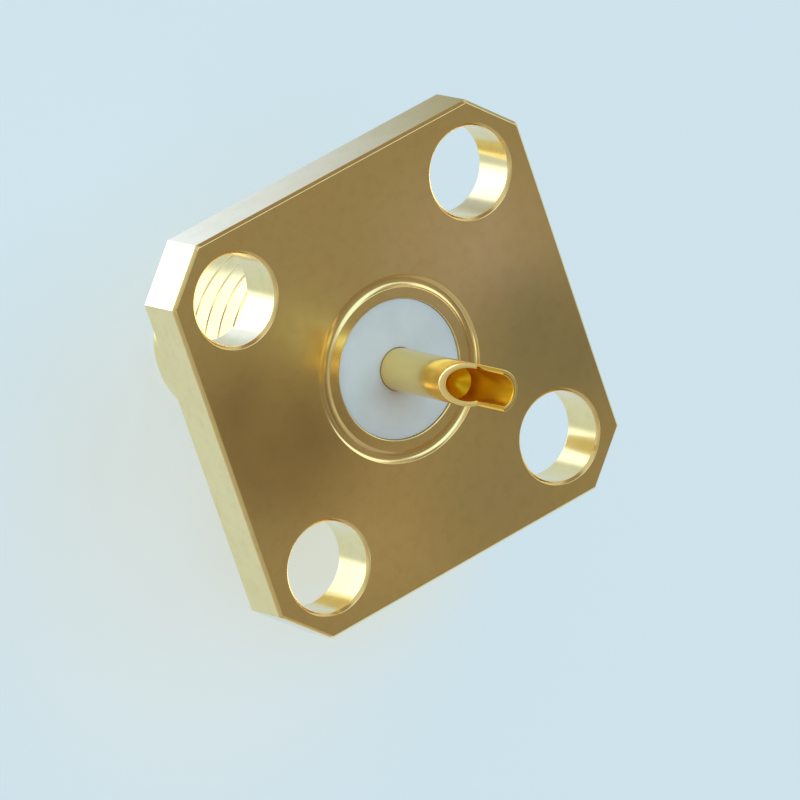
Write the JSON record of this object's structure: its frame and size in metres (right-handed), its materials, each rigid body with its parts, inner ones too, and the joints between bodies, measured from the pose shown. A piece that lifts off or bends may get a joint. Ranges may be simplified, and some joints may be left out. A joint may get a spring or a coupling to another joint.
{
  "type": "coaxial panel jack",
  "caption": "Square-flange coaxial panel jack: threaded barrel, white insulator, gold contact with a slotted socket at one end and a solder cup at the other.",
  "frame": {"origin": "centre of the flange's rear face, on the connector's axis, which is also the centre of the hole pattern", "axes": "+Z along the connector's axis, out of the rear face towards the solder cup; the mating end points to -Z; X and Y run parallel to the flange's sides"},
  "size_m": [0.0126, 0.0126, 0.0146],
  "materials": {
    "gold_body": "gold plate, satin",
    "ptfe": "white fluoropolymer, waxy",
    "gold_contact": "gold plate, bright"
  },
  "bodies": {
    "root": {"body": "gold_body", "insulator": "ptfe", "contact": "gold_contact"}
  },
  "joints": []
}
